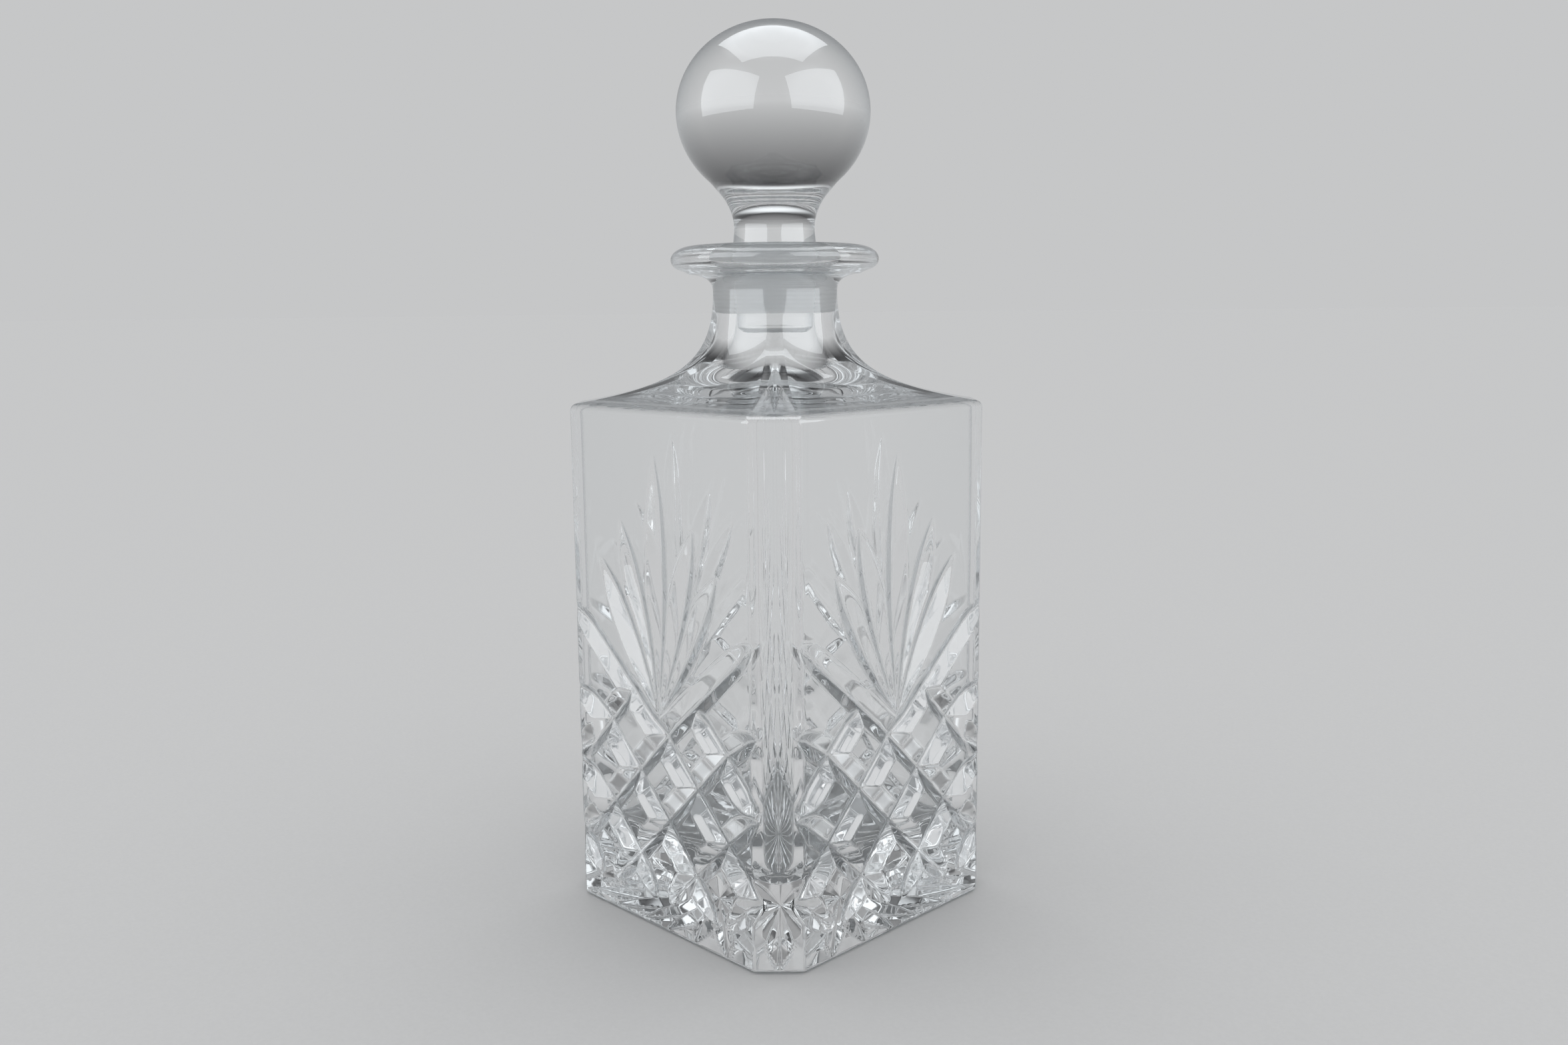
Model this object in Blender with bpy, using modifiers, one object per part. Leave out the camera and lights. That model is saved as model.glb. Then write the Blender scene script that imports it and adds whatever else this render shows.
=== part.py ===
"""Square whisky decanter of clear cut glass with a solid ball stopper.

Two pieces: the decanter body, one thick-walled vessel with cut walls, a star-cut base, a swept
shoulder and a turned lip, and the stopper, a solid ball on a waist with a tapered ground plug.
The body stands on z = 0 with its four faces square to X and Y. All lengths are in metres.
"""

import math

import bmesh
import bpy
from mathutils import Vector

# Overall body
BODY_SIDE = 0.0906
CORNER_FACE = 0.0131
SHOULDER_HEIGHT = 0.1441
SHOULDER_ROUND = 0.0020
FOOT_BEVEL = 0.0012

# Shoulder sweep, from the wall's top edge up to the neck
NECK_RADIUS = 0.0174
NECK_START_DROP = 0.0125
SHOULDER_SWEEP_RISE = 0.0046
NECK_SWEEP_DROP = 0.0197
SHOULDER_SWEEP_SHARE = 0.28

# Lip
LIP_RADIUS = 0.0291
LIP_TOP_HEIGHT = 0.1870
LIP_CROWN_RISE = 0.0038
LIP_CROWN_RUN = 0.0068
LIP_BELLY_DROP = 0.0031
LIP_BELLY_RUN = 0.0035
LIP_FILLET_RUN = 0.0066
LIP_FILLET_DROP = 0.0036
LIP_UNDER_SLOPE = 0.0010
MOUTH_BEVEL = 0.0006

# Inside of the body
WALL = 0.0055
BASE_THICKNESS = 0.0212
INNER_CORNER_RADIUS = 0.0060
LEAST_CORNER_RADIUS = 0.0010
FLOOR_ROUND = 0.0080
CEILING_ROUND = 0.0010
CEILING_DROP = 0.0005
BORE_MOUTH_RADIUS = 0.0119
BORE_END_RADIUS = 0.0109
BORE_LENGTH = 0.0190
INNER_SWEEP_RISE = 0.0052
INNER_SWEEP_DROP = 0.0175

# Diamond lattice cut low on each face
LATTICE_TOP_HEIGHT = 0.0550
LATTICE_DEPTH = 0.0032
LATTICE_FOOT_DEPTH = 0.0023
LATTICE_HALF_WIDTH = 0.0039
LATTICE_FOOT_HEIGHT = 0.0095
CROSS_DEPTH = 0.0036
CROSS_HALF_WIDTH = 0.0042
EDGE_DEPTH = 0.0012
EDGE_HALF_WIDTH = 0.0016
EDGE_APPROACH = 0.0060
EDGE_OVERRUN = 0.0016
UPPER_EDGE_HEIGHT = 0.0630
LOWER_EDGE_HEIGHT = 0.0412
INNER_STUB = 0.0110

# Pair of long arms that rise from the lattice's top crossing
ARM_TOP_HEIGHT = 0.0864
ARM_DEPTH = 0.0023
ARM_TIP_DEPTH = 0.0007
ARM_TIP_HALF_WIDTH = 0.0015

# Fan of leaves above the crossing
FAN_BASE_HEIGHT = 0.0612
FAN_CENTRE_TIP_HEIGHT = 0.1325
FAN_INNER_TIP_OFFSET = 0.0150
FAN_INNER_TIP_HEIGHT = 0.1139
FAN_OUTER_TIP_OFFSET = 0.0241
FAN_OUTER_TIP_HEIGHT = 0.1026
LEAF_DEPTH = 0.0023
LEAF_HALF_WIDTH = 0.0043

# Star cut under the base
STAR_RAYS = 24
STAR_RIM = 0.0030
STAR_DEPTH = 0.0028
STAR_HALF_WIDTH = 0.0036

# Every cutter stands this far above the face that it cuts
CUT_LIFT = 0.0005

# Stopper
SEAT_GAP = 0.0003
BALL_RADIUS = 0.0267
BALL_UPPER_HEIGHT = 0.02425
BALL_LOWER_HEIGHT = 0.0247
STOPPER_HEIGHT = 0.0600
COLLAR_RADIUS = 0.0176
WAIST_RADIUS = 0.0111
WAIST_HEIGHT = 0.0046
PLUG_LENGTH = 0.0250
PLUG_BEVEL = 0.0016

# Shares along a cut from its inner to its outer tip: place, depth, half width
LEAF_SHARES = ((0.14, 0.36, 0.40), (0.30, 0.74, 0.78), (0.46, 0.97, 1.0), (0.64, 1.0, 0.98),
               (0.80, 0.80, 0.80), (0.92, 0.40, 0.40))
RUN_OUT_SHARES = ((0.45, 0.84, 0.96), (0.80, 0.50, 0.70))
ARM_SHARES = ((0.14, 1.0, 0.98), (0.55, 0.95, 0.96), (0.86, 0.88, 0.86))

# Shares along a ray of the star from the centre to its tip: place, depth
RAY_SHARES = ((0.30, 1.0), (0.55, 0.96), (0.75, 0.73), (0.90, 0.35))

# Shares of the way from the waist to the ball: outward, upward
WAIST_FLARE_SHARES = ((0.0, 0.0), (0.04, 0.19), (0.13, 0.35), (0.24, 0.49), (0.38, 0.62), (0.55, 0.73),
                      (0.75, 0.85))

FLAT_STEPS = 8
CORNER_STEPS = 4
SWEEP_STEPS = 7
ROUND_STEPS = 3
LIP_STEPS = 3
BALL_STEPS = 12
TURN_STEPS = 40
SHARP_ANGLE = math.radians(28)

# Sizes that follow from those above
HALF_SIDE = BODY_SIDE / 2
CORNER_REACH = BODY_SIDE / math.sqrt(2) - CORNER_FACE / 2
FLAT_HALF = HALF_SIDE - CORNER_FACE / math.sqrt(2)
PITCH = FLAT_HALF / 3
ROW_A = LATTICE_TOP_HEIGHT
ROW_B = ROW_A - PITCH
ROW_C = ROW_B - PITCH
ROW_D = ROW_C - PITCH
FOOT_RUN = ROW_D - LATTICE_FOOT_HEIGHT
NECK_START_HEIGHT = LIP_TOP_HEIGHT - NECK_START_DROP
BORE_END_HEIGHT = LIP_TOP_HEIGHT - BORE_LENGTH


def clear_scene():
    for item in list(bpy.data.objects):
        bpy.data.objects.remove(item, do_unlink=True)


def new_collection(name, hidden=False):
    collection = bpy.data.collections.new(name)
    collection.hide_render = hidden
    bpy.context.scene.collection.children.link(collection)
    return collection


def glass_material(name, colour, roughness):
    """Clear glass; the colour is the faint cool grey of thick crystal."""
    material = bpy.data.materials.new(name)
    material.use_nodes = True
    shader = material.node_tree.nodes["Principled BSDF"]
    shader.inputs["Base Color"].default_value = (*colour, 1.0)
    shader.inputs["Roughness"].default_value = roughness
    shader.inputs["Metallic"].default_value = 0.0
    shader.inputs["IOR"].default_value = 1.52
    shader.inputs["Transmission Weight"].default_value = 1.0
    material.diffuse_color = (*colour, 0.5)
    return material


def object_from(bm, name, collection):
    mesh = bpy.data.meshes.new(name)
    bmesh.ops.recalc_face_normals(bm, faces=bm.faces)
    bm.to_mesh(mesh)
    bm.free()
    made = bpy.data.objects.new(name, mesh)
    collection.objects.link(made)
    return made


def lerp(low, high, share):
    return low + (high - low) * share


def sweep(start, start_pull, end_pull, end, steps):
    """Points along a cubic curve from start to end."""
    points = []
    for step in range(steps + 1):
        t = step / steps
        weights = ((1 - t) ** 3, 3 * t * (1 - t) ** 2, 3 * t * t * (1 - t), t**3)
        ends = (start, start_pull, end_pull, end)
        points.append(tuple(sum(w * p[axis] for w, p in zip(weights, ends)) for axis in (0, 1)))
    return points


def quarter(steps):
    """Sine and cosine of evenly stepped angles over a quarter turn, both ends included."""
    angles = [math.pi / 2 * step / steps for step in range(steps + 1)]
    return [(math.sin(angle), math.cos(angle)) for angle in angles]


def ring_angles(inset):
    """Directions of a section's points, with one on every edge between a face and a corner."""
    edge = math.atan2(FLAT_HALF - inset * math.tan(math.pi / 8), HALF_SIDE - inset)
    angles = []
    for quadrant in range(4):
        middle = quadrant * math.pi / 2
        for step in range(FLAT_STEPS):
            angles.append(middle + lerp(-edge, edge, step / FLAT_STEPS))
        for step in range(CORNER_STEPS):
            angles.append(middle + lerp(edge, math.pi / 2 - edge, step / CORNER_STEPS))
    return angles


def from_face_normal(angle):
    """Angle between a direction and the normal of the nearest of the four faces."""
    quarter_turn = math.pi / 2
    return abs((angle + quarter_turn / 2) % quarter_turn - quarter_turn / 2)


def cornered_reach(angle, inset):
    """Distance from the axis to the octagonal outside, drawn in by an inset."""
    turned = from_face_normal(angle)
    to_face = (HALF_SIDE - inset) / math.cos(turned)
    to_corner = (CORNER_REACH - inset) / math.cos(math.pi / 4 - turned)
    return min(to_face, to_corner)


def rounded_reach(angle, inset):
    """Distance from the axis to the inside, a square with round corners, drawn in by an inset."""
    turned = from_face_normal(angle)
    half = HALF_SIDE - WALL - inset
    corner = max(INNER_CORNER_RADIUS - inset, LEAST_CORNER_RADIUS)
    straight = half - corner
    if half * math.tan(turned) <= straight:
        return half / math.cos(turned)
    across = straight * (math.cos(turned) - math.sin(turned))
    return straight * (math.cos(turned) + math.sin(turned)) + math.sqrt(corner**2 - across**2)


def ring_points(reach, height, inset=SHOULDER_ROUND):
    """One section of the body: reach gives the distance from the axis for a direction."""
    return [
        Vector((reach(angle) * math.cos(angle), reach(angle) * math.sin(angle), height))
        for angle in ring_angles(inset)
    ]


def round_ring(radius, height):
    return ring_points(lambda angle: radius, height)


def cornered_ring(inset, height):
    return ring_points(lambda angle: cornered_reach(angle, inset), height, inset)


def outer_rings():
    """Sections of the outside, from the foot up to the outer edge of the lip's top."""
    rings = [cornered_ring(FOOT_BEVEL, 0.0), cornered_ring(0.0, FOOT_BEVEL)]
    for rise, run in quarter(ROUND_STEPS):
        inset = SHOULDER_ROUND * (1 - run)
        rings.append(cornered_ring(inset, SHOULDER_HEIGHT - SHOULDER_ROUND * (1 - rise)))
    curve = sweep((1.0, SHOULDER_HEIGHT), (SHOULDER_SWEEP_SHARE, SHOULDER_HEIGHT + SHOULDER_SWEEP_RISE),
                  (0.0, NECK_START_HEIGHT - NECK_SWEEP_DROP), (0.0, NECK_START_HEIGHT), SWEEP_STEPS)
    for share, height in curve[1:]:
        rings.append(ring_points(
            lambda angle, w=share: lerp(NECK_RADIUS, cornered_reach(angle, SHOULDER_ROUND), w), height))
    return rings + lip_rings()


def lip_rings():
    """The concave fillet under the lip, its round rim and its flat top."""
    widest = LIP_TOP_HEIGHT - LIP_CROWN_RISE
    fillet_top = widest - LIP_BELLY_DROP - LIP_UNDER_SLOPE
    rings = []
    for rise, run in quarter(ROUND_STEPS)[1:]:
        radius = NECK_RADIUS + LIP_FILLET_RUN * (1 - run)
        rings.append(round_ring(radius, fillet_top - LIP_FILLET_DROP * (1 - rise)))
    for drop, run in reversed(quarter(LIP_STEPS)):
        rings.append(round_ring(LIP_RADIUS - LIP_BELLY_RUN * (1 - run), widest - LIP_BELLY_DROP * drop))
    for rise, run in quarter(LIP_STEPS)[1:]:
        rings.append(round_ring(LIP_RADIUS - LIP_CROWN_RUN * (1 - run), widest + LIP_CROWN_RISE * rise))
    return rings


def inner_rings():
    """Sections of the inside, from the mouth down through the bore to the cavity's floor."""
    rings = [round_ring(BORE_MOUTH_RADIUS + MOUTH_BEVEL, LIP_TOP_HEIGHT)]
    rings.append(round_ring(BORE_MOUTH_RADIUS, LIP_TOP_HEIGHT - MOUTH_BEVEL))
    ceiling = SHOULDER_HEIGHT - CEILING_DROP
    curve = sweep((0.0, BORE_END_HEIGHT), (0.0, BORE_END_HEIGHT - INNER_SWEEP_DROP),
                  (SHOULDER_SWEEP_SHARE, ceiling + INNER_SWEEP_RISE), (1.0, ceiling), SWEEP_STEPS)
    for share, height in curve:
        rings.append(ring_points(
            lambda angle, w=share: lerp(BORE_END_RADIUS, rounded_reach(angle, CEILING_ROUND), w), height))
    for run, drop in quarter(ROUND_STEPS)[1:]:
        inset = CEILING_ROUND * (1 - run)
        height = ceiling - CEILING_ROUND * (1 - drop)
        rings.append(ring_points(lambda angle, i=inset: rounded_reach(angle, i), height))
    for drop, run in quarter(ROUND_STEPS):
        inset = FLOOR_ROUND * (1 - run)
        height = BASE_THICKNESS + FLOOR_ROUND * (1 - drop)
        rings.append(ring_points(lambda angle, i=inset: rounded_reach(angle, i), height))
    return rings


def body_blank(collection):
    """The uncut body: one closed skin from the foot over the lip and down inside to the floor."""
    bm = bmesh.new()
    rings = [[bm.verts.new(point) for point in ring] for ring in outer_rings() + inner_rings()]
    count = len(rings[0])
    for lower, upper in zip(rings, rings[1:]):
        for index in range(count):
            after = (index + 1) % count
            bm.faces.new((lower[index], lower[after], upper[after], upper[index]))
    bm.faces.new(rings[0])
    bm.faces.new(rings[-1])
    bmesh.ops.dissolve_limit(bm, angle_limit=math.radians(0.05), verts=bm.verts, edges=bm.edges)
    return object_from(bm, "decanter_body", collection)


def add_groove(bm, stations, tips, place):
    """A V-shaped cutter along a path. Each station is (across, up, depth, half width); tips are the
    two points where the cut runs out to the face; place turns (across, up, depth) into a point."""
    first, last = stations[0], stations[-1]
    sections = []
    for index, (across, up, depth, half_width) in enumerate(stations):
        before = stations[index - 1] if index else (*tips[0], 0.0, 0.0)
        after = stations[index + 1] if index + 1 < len(stations) else (*tips[1], 0.0, 0.0)
        along = Vector((after[0] - before[0], after[1] - before[1])).normalized()
        reach = half_width * (depth + CUT_LIFT) / depth
        side = (-along.y * reach, along.x * reach)
        sections.append([
            bm.verts.new(place(across + side[0], up + side[1], -CUT_LIFT)),
            bm.verts.new(place(across, up, depth)),
            bm.verts.new(place(across - side[0], up - side[1], -CUT_LIFT)),
        ])
    for near, far in zip(sections, sections[1:]):
        for corner in range(3):
            after = (corner + 1) % 3
            bm.faces.new((near[corner], near[after], far[after], far[corner]))
    for tip, station, section in ((tips[0], first, sections[0]), (tips[1], last, sections[-1])):
        past = 1 + CUT_LIFT / station[2]
        across = lerp(station[0], tip[0], past)
        up = lerp(station[1], tip[1], past)
        point = bm.verts.new(place(across, up, -CUT_LIFT))
        for corner in range(3):
            bm.faces.new((section[corner], section[(corner + 1) % 3], point))


def between(start, end, share):
    return lerp(start[0], end[0], share), lerp(start[1], end[1], share)


def blade(start, end, shares, depth, half_width):
    """Stations of a pointed cut whose depth and width follow a table of shares."""
    return [(*between(start, end, place), depth * deep, half_width * wide)
            for place, deep, wide in shares]


def toward(start, end, distance):
    length = math.dist(start, end)
    return between(start, end, distance / length)


def edge_finish(inner, edge):
    """Stations that bring a cut up to the face's edge and the tip just past it."""
    approach = toward(edge, inner, EDGE_APPROACH)
    past = toward(edge, inner, -EDGE_OVERRUN)
    stations = [(*approach, LATTICE_DEPTH, LATTICE_HALF_WIDTH), (*edge, EDGE_DEPTH, EDGE_HALF_WIDTH)]
    return stations, past


def run_out(start, end):
    """Stations between a lattice crossing on the lowest row and the cut's tip near the foot."""
    return blade(start, end, RUN_OUT_SHARES, LATTICE_FOOT_DEPTH, LATTICE_HALF_WIDTH)


def lattice_paths():
    """The cuts that rise to the right; their mirror images rise to the left."""
    low = (LATTICE_FOOT_DEPTH, LATTICE_HALF_WIDTH)
    high = (LATTICE_DEPTH, LATTICE_HALF_WIDTH)
    paths = []

    left_edge = (-FLAT_HALF, ROW_D)
    crossing = (0.0, ROW_A)
    arm_tip = (FLAT_HALF, ARM_TOP_HEIGHT)
    start, start_tip = edge_finish(crossing, left_edge)
    arm = blade(crossing, arm_tip, ARM_SHARES, ARM_DEPTH, CROSS_HALF_WIDTH)
    arm_edge = (*arm_tip, ARM_TIP_DEPTH, ARM_TIP_HALF_WIDTH)
    stations = start[::-1] + [(*crossing, CROSS_DEPTH, CROSS_HALF_WIDTH)] + arm + [arm_edge]
    paths.append((stations, (start_tip, toward(arm_tip, crossing, -EDGE_OVERRUN))))

    foot = (-PITCH - FOOT_RUN, LATTICE_FOOT_HEIGHT)
    knee = (2 * PITCH, ROW_A)
    end, end_tip = edge_finish(knee, (FLAT_HALF, UPPER_EDGE_HEIGHT))
    stations = run_out((-PITCH, ROW_D), foot)[::-1]
    stations += [(-PITCH, ROW_D, *low), (0.0, ROW_C, *high), (*knee, *high)] + end
    paths.append((stations, (foot, end_tip)))

    foot = (PITCH - FOOT_RUN, LATTICE_FOOT_HEIGHT)
    knee = (2 * PITCH, ROW_C)
    end, end_tip = edge_finish(knee, (FLAT_HALF, LOWER_EDGE_HEIGHT))
    stations = run_out((PITCH, ROW_D), foot)[::-1] + [(PITCH, ROW_D, *low), (*knee, *high)] + end
    paths.append((stations, (foot, end_tip)))

    edge = (FLAT_HALF, ROW_D)
    foot = (FLAT_HALF - FOOT_RUN, LATTICE_FOOT_HEIGHT)
    stations = run_out(edge, foot)[::-1] + [(*edge, EDGE_DEPTH, EDGE_HALF_WIDTH)]
    paths.append((stations, (foot, toward(edge, foot, -EDGE_OVERRUN))))

    edge = (-FLAT_HALF, ROW_B)
    knee = (-2 * PITCH, ROW_A)
    start, start_tip = edge_finish(knee, edge)
    end_tip = (knee[0] + INNER_STUB, knee[1] + INNER_STUB)
    stations = start[::-1] + [(*knee, *high), (*between(knee, end_tip, 0.6), *high)]
    paths.append((stations, (start_tip, end_tip)))
    return paths


def fan_paths():
    base = (0.0, FAN_BASE_HEIGHT)
    tips = [(0.0, FAN_CENTRE_TIP_HEIGHT)]
    for side in (-1, 1):
        tips.append((side * FAN_INNER_TIP_OFFSET, FAN_INNER_TIP_HEIGHT))
        tips.append((side * FAN_OUTER_TIP_OFFSET, FAN_OUTER_TIP_HEIGHT))
    return [(blade(base, tip, LEAF_SHARES, LEAF_DEPTH, LEAF_HALF_WIDTH), (base, tip)) for tip in tips]


def mirrored(path):
    stations, tips = path
    turned = [(-across, up, depth, half_width) for across, up, depth, half_width in stations]
    return turned, tuple((-across, up) for across, up in tips)


def face_cutter(quadrant, collection):
    """All the cuts of one face, as cutters in one object."""
    angle = quadrant * math.pi / 2
    normal = Vector((math.cos(angle), math.sin(angle), 0.0))
    right = Vector((-math.sin(angle), math.cos(angle), 0.0))

    def place(across, up, depth):
        return normal * (HALF_SIDE - depth) + right * across + Vector((0.0, 0.0, up))

    bm = bmesh.new()
    lattice = lattice_paths()
    for stations, tips in lattice + [mirrored(path) for path in lattice] + fan_paths():
        add_groove(bm, stations, tips, place)
    return cutter_object(bm, f"face_cutter_{quadrant + 1}", collection)


def star_rings():
    """Rings of the star's relief, whose points lie in turn on a ray and half-way to the next one.
    A ray is a V cut of one angle that runs out just past its last share, near the foot's edge."""
    slope = STAR_DEPTH / STAR_HALF_WIDTH
    place, deep = RAY_SHARES[-1]
    past = lerp(place, 1.0, 1 + CUT_LIFT / (deep * STAR_DEPTH))
    levels = [(share, STAR_DEPTH * depth) for share, depth in RAY_SHARES] + [(past, -CUT_LIFT)]
    rings = []
    for share, valley in levels:
        ring = []
        for step in range(2 * STAR_RAYS):
            angle = math.pi * step / STAR_RAYS
            reach = share * (cornered_reach(angle, 0.0) - STAR_RIM)
            aside = reach * math.sin(math.pi / STAR_RAYS) if step % 2 else 0.0
            ring.append(Vector((reach * math.cos(angle), reach * math.sin(angle), valley - slope * aside)))
        rings.append(ring)
    return rings


def star_cutter(collection):
    """The star's relief as one closed body, with its top in the underside and a flat lid below it."""
    rings = star_rings()
    lid = min(point.z for ring in rings for point in ring) - CUT_LIFT
    rings.append([Vector((point.x, point.y, lid)) for point in rings[-1]])
    bm = bmesh.new()
    centre = bm.verts.new((0.0, 0.0, STAR_DEPTH))
    corners = [[bm.verts.new(point) for point in ring] for ring in rings]
    for index in range(2 * STAR_RAYS):
        after = (index + 1) % (2 * STAR_RAYS)
        bm.faces.new((centre, corners[0][index], corners[0][after]))
        for inner, outer in zip(corners, corners[1:]):
            bm.faces.new((inner[index], outer[index], outer[after], inner[after]))
    bm.faces.new(corners[-1])
    return cutter_object(bm, "star_cutter", collection)


def cutter_object(bm, name, collection):
    made = object_from(bm, name, collection)
    made.hide_render = True
    made.display_type = "WIRE"
    return made


def cut(target, cutter):
    modifier = target.modifiers.new(cutter.name, "BOOLEAN")
    modifier.operation = "DIFFERENCE"
    modifier.solver = "EXACT"
    modifier.use_self = True
    modifier.object = cutter


def stopper_profile():
    """Half outline of the stopper from the ball's top down to the plug's flat end."""
    centre = LIP_TOP_HEIGHT + STOPPER_HEIGHT - BALL_UPPER_HEIGHT
    collar_angle = math.pi - math.asin(COLLAR_RADIUS / BALL_RADIUS)
    points = []
    for step in range(BALL_STEPS + 1):
        angle = collar_angle * step / BALL_STEPS
        half_height = BALL_UPPER_HEIGHT if angle < math.pi / 2 else BALL_LOWER_HEIGHT
        points.append((BALL_RADIUS * math.sin(angle), centre + half_height * math.cos(angle)))
    collar = points[-1]
    waist = (WAIST_RADIUS, LIP_TOP_HEIGHT + WAIST_HEIGHT)
    for out, up in reversed(WAIST_FLARE_SHARES):
        points.append((lerp(waist[0], collar[0], out), lerp(waist[1], collar[1], up)))
    slope = (BORE_MOUTH_RADIUS - BORE_END_RADIUS) / BORE_LENGTH
    plug_top = BORE_MOUTH_RADIUS - SEAT_GAP
    plug_end = plug_top - slope * PLUG_LENGTH
    end_height = LIP_TOP_HEIGHT - PLUG_LENGTH
    points.append((plug_top, LIP_TOP_HEIGHT))
    points.append((plug_end + slope * PLUG_BEVEL, end_height + PLUG_BEVEL))
    points.append((plug_end - PLUG_BEVEL, end_height))
    points.append((0.0, end_height))
    return points


def ball_stopper(collection):
    """The turned stopper, with its origin on its own axis at the level of the lip's top."""
    mesh = bpy.data.meshes.new("ball_stopper")
    profile = stopper_profile()
    vertices = [(radius, 0.0, height - LIP_TOP_HEIGHT) for radius, height in profile]
    edges = [(index, index + 1) for index in range(len(profile) - 1)]
    mesh.from_pydata(vertices, edges, [])
    stopper = bpy.data.objects.new("ball_stopper", mesh)
    stopper.location = (0.0, 0.0, LIP_TOP_HEIGHT)
    collection.objects.link(stopper)
    turn = stopper.modifiers.new("turn", "SCREW")
    turn.axis = "Z"
    turn.steps = TURN_STEPS
    turn.render_steps = TURN_STEPS
    turn.use_merge_vertices = True
    turn.merge_threshold = 0.00001
    turn.use_smooth_shade = True
    return stopper


def main():
    clear_scene()
    parts = new_collection("whisky_decanter")
    cutters = new_collection("cutters", hidden=True)
    body = body_blank(parts)
    for quadrant in range(4):
        cut(body, face_cutter(quadrant, cutters))
    cut(body, star_cutter(cutters))
    body.data.shade_smooth()
    body.data.set_sharp_from_angle(angle=SHARP_ANGLE)
    body.data.materials.append(glass_material("body_crystal", (0.93, 0.95, 0.96), 0.02))
    stopper = ball_stopper(parts)
    stopper.data.materials.append(glass_material("stopper_crystal", (0.94, 0.96, 0.97), 0.01))


main()
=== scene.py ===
"""Looks of the square whisky decanter: clear cut crystal, a ground-glass seat and a solid ball stopper,
on a plain pale studio floor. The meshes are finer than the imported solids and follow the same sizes.
All lengths are in metres.
"""

import math

import bmesh
import bpy
import numpy as np
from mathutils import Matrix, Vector

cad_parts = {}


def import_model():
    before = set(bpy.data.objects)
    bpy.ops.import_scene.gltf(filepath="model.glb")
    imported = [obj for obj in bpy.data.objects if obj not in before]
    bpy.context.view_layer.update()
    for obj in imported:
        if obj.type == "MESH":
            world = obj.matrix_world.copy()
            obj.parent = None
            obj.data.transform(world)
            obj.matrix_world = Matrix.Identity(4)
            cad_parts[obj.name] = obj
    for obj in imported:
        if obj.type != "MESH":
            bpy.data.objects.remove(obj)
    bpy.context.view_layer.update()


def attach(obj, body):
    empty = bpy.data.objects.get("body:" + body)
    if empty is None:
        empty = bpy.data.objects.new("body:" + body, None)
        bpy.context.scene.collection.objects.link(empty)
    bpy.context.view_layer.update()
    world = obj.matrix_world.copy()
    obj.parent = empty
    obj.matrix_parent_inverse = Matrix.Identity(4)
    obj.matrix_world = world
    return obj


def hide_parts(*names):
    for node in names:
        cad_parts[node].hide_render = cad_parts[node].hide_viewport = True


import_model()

# Outside of the body
HALF_SIDE = 0.0453
CORNER_FACE = 0.0131
FLAT_HALF = HALF_SIDE - CORNER_FACE / math.sqrt(2)
EDGE_ROUND = 0.0014
FOOT_ROUND = 0.0012
FOOT_LAND = 0.0009
PLAIN_WALL_RING = 0.1375
SHOULDER_HEIGHT = 0.1441
SHOULDER_ROUND = 0.0020
NECK_RADIUS = 0.0174
NECK_START = 0.1745
SWEEP_SHARE = 0.28
SWEEP_RISE = 0.0046
SWEEP_DROP = 0.0197
SWEEP_STEPS = 34

# Lip
LIP_RADIUS = 0.0291
LIP_TOP = 0.1870
LIP_CROWN_RISE = 0.0038
LIP_CROWN_RUN = 0.0068
LIP_BELLY_DROP = 0.0031
LIP_BELLY_RUN = 0.0035
LIP_UNDER_SLOPE = 0.0010
LIP_FILLET_DROP = 0.0036
LIP_FILLET_RUN = 0.0066
LIP_TOP_RADII = (0.0200, 0.0165)
MOUTH_BEVEL = 0.0007

# Inside of the body
WALL = 0.0055
BASE = 0.0212
INNER_CORNER = 0.0060
LEAST_CORNER = 0.0010
FLOOR_ROUND = 0.0080
FLOOR_SHARES = (0.85, 0.7, 0.55, 0.4, 0.25, 0.1, 0.03)
CEILING = 0.1436
CEILING_ROUND = 0.0010
INNER_SWEEP_RISE = 0.0052
INNER_SWEEP_DROP = 0.0175
INNER_SWEEP_STEPS = 30
INNER_WALL_STEPS = 40
BORE_MOUTH = 0.0119
BORE_END = 0.0109
BORE_END_HEIGHT = 0.1680

# Unevenness of the moulded inside: height of a wave, waves round, turn per metre up, where it starts
INNER_WAVES = ((0.00007, 3, 55, 0.4), (0.00005, 5, -90, 2.1), (0.00004, 2, 140, 4.0))

# Lattice of cuts low on each face: heights of its crossings and of where it meets the corner faces
PITCH = FLAT_HALF / 3
ROW_A = 0.0550
ROW_B = ROW_A - PITCH
ROW_C = ROW_B - PITCH
ROW_D = ROW_C - PITCH
UPPER_SIDE_HEIGHT = 0.0630
LOWER_SIDE_HEIGHT = 0.0412
FOOT_TIP = 0.0095
STUB_RUN = 0.0110

# Depth and half width of the cuts
CROSS = (0.0036, 0.0042)
LATTICE = (0.0032, 0.0039)
FOOT_CUT = (0.0023, 0.0039)
SIDE_MARK = (0.0009, 0.0015)
POINT_HALF = 0.0004

# A lattice cut shrinks to its end over this length. The shares say where the station between them lies,
# measured from the end, and how much of the way to the full size it has there.
EASE_LENGTH = 0.0062
EASE_PLACE_SHARE = 0.55
EASE_SIZE_SHARE = 0.68
CROSS_LENGTH = 0.0060

# Cuts that change along their length: share of the length, depth, half width
RUN_OUT = ((0.0, *FOOT_CUT), (0.45, 0.0019, 0.0037), (0.80, 0.0011, 0.0027), (0.93, 0.0005, 0.0016),
           (1.0, 0.0, POINT_HALF))
STUB = ((0.0, *LATTICE), (0.6, 0.0030, 0.0038), (1.0, 0.0012, 0.0026))

# Long arms that rise from the top crossing
ARM_TIP_HEIGHT = 0.0864
ARM_OVERRUN = 0.0010
ARM_START = (0.0066, 0.0024, 0.0041)
ARM = ((0.55, 0.0022, 0.00405), (0.84, 0.0020, 0.0037), (0.94, 0.0013, 0.0027), (1.0, 0.0006, 0.0014))

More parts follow.
